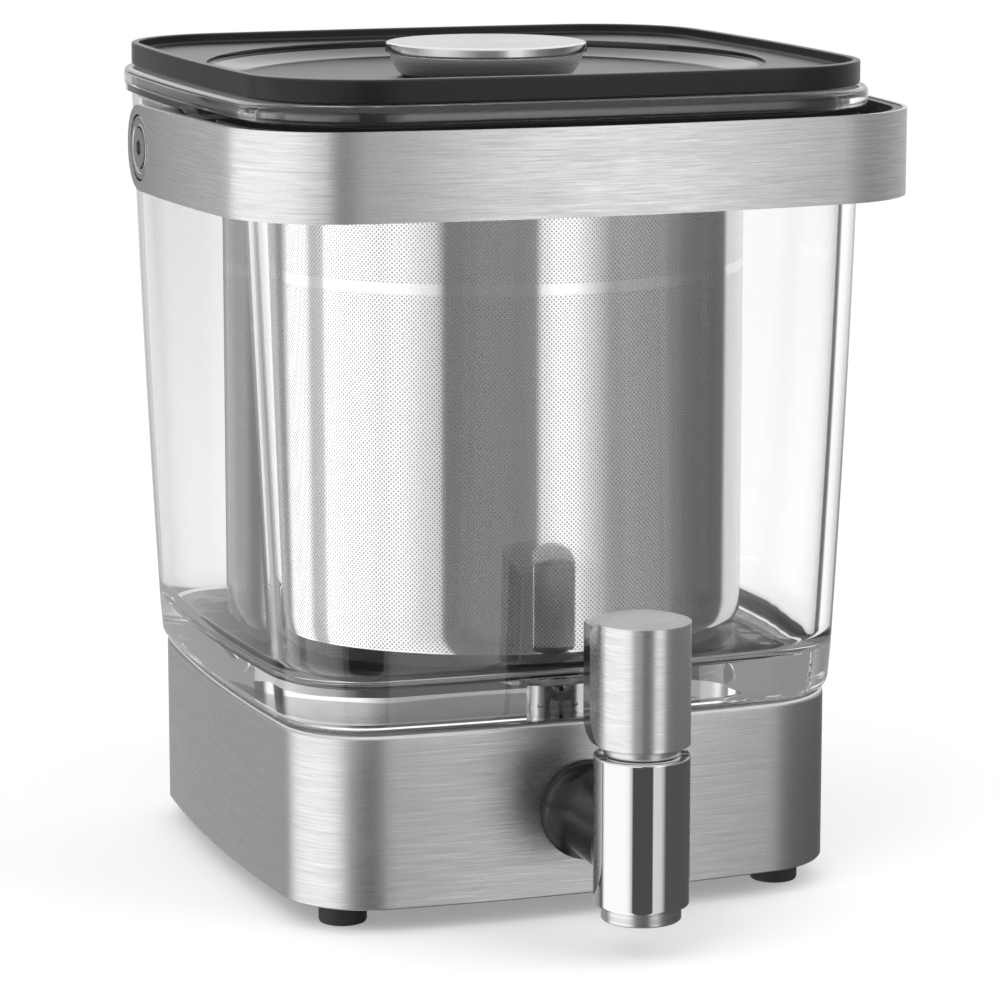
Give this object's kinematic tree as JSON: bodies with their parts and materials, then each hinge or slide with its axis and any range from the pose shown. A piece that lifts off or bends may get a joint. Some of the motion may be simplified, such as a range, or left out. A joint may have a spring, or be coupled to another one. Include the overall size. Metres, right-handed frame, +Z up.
{
  "type": "cold brew coffee maker",
  "caption": "Square glass cold brew coffee maker on a brushed steel base, with a lever tap, perforated steeper, knobbed lid and fold-down carry handle.",
  "frame": {"origin": "on the ground under the middle of the whole object", "axes": "+Z up, -Y towards the tap, +X to the right as seen from the tap's side"},
  "size_m": [0.173, 0.1924, 0.199],
  "materials": {
    "steel_base": "fine horizontal brushing",
    "steel_handle": "fine lengthwise brushing",
    "steel_lever": "fine horizontal brushing",
    "steel_knob": "circular brushing",
    "steel_knob_bowl": "satin turned",
    "steel_mesh": "finely perforated sheet",
    "steel_steeper": "pressed sheet",
    "jar_glass": "clear, fire polished",
    "tap_chrome": "polished",
    "tap_steel": "turned",
    "hardware_steel": "plain",
    "pivot_steel": "turned satin",
    "lid_plastic": "satin",
    "liner_plastic": "satin",
    "bracket_plastic": "satin",
    "base_plastic": "fine moulded grain",
    "lever_plastic": "polished",
    "rubber_black": "matt",
    "silicone_clear": "translucent matt"
  },
  "bodies": {
    "root": {"base_skirt": "steel_base", "base_tray": "base_plastic", "base_cover": "base_plastic", "base_screws": "hardware_steel", "jar_pad": "rubber_black", "foot_front_left": "rubber_black", "foot_front_right": "rubber_black", "foot_back_left": "rubber_black", "foot_back_right": "rubber_black", "glass_jar": "jar_glass", "drain_fitting": "hardware_steel", "drain_nut": "base_plastic", "drain_elbow": "base_plastic", "drain_seal_upper": "silicone_clear", "drain_seal_lower": "silicone_clear", "tap_shank": "hardware_steel", "tap_gasket": "rubber_black", "tap_washer": "hardware_steel", "tap_nut": "hardware_steel", "tap_body": "tap_chrome", "tap_nozzle": "tap_steel", "tap_collar": "tap_steel", "neck_ring": "hardware_steel", "pivot_bracket_left": "bracket_plastic", "pivot_bracket_right": "bracket_plastic", "pivot_screw_left": "pivot_steel", "pivot_screw_right": "pivot_steel", "stop_pin_left": "hardware_steel", "stop_pin_right": "hardware_steel", "rest_block_left": "rubber_black", "rest_block_right": "rubber_black"},
    "handle": {"handle_band": "steel_handle", "handle_liner": "liner_plastic", "pivot_bush_left": "pivot_steel", "pivot_bush_right": "pivot_steel"},
    "tap_stem": {"valve_stem": "hardware_steel", "seat_cup": "silicone_clear"},
    "tap_lever": {"lever_shell": "steel_lever", "lever_core": "lever_plastic", "lever_pin": "hardware_steel"},
    "steeper": {"steeper_sleeve": "steel_mesh", "steeper_floor": "steel_steeper", "steeper_rim": "steel_steeper"},
    "lid": {"lid_cover": "lid_plastic", "lid_gasket": "silicone_clear", "knob_base": "steel_knob_bowl", "knob_cap": "steel_knob", "knob_screw": "hardware_steel"}
  },
  "joints": [
    {"name": "handle_swing", "type": "hinge", "parent": "root", "child": "handle", "pos_m": [0, 0.0182, 0.1762], "axis": [-1, 0, 0], "range_deg": [0, 180]},
    {"name": "steeper_lift", "type": "slide", "parent": "root", "child": "steeper", "axis": [0, 0, 1], "range_m": [0, 0.14]},
    {"name": "lid_lift", "type": "slide", "parent": "steeper", "child": "lid", "axis": [0, 0, 1], "range_m": [0, 0.06]},
    {"name": "stem_lift", "type": "slide", "parent": "root", "child": "tap_stem", "axis": [0, 0, 1], "range_m": [0, 0.00436]},
    {"name": "tap_pull", "type": "hinge", "parent": "tap_stem", "child": "tap_lever", "pos_m": [0, -0.0853, 0.057], "axis": [1, 0, 0], "range_deg": [0, 25], "stiffness_Nm_per_rad": 0.05, "springref_deg": -11.46}
  ],
  "couplings": [
    {"joint": "tap_pull", "follows": "stem_lift", "rad_per_m": 100}
  ]
}
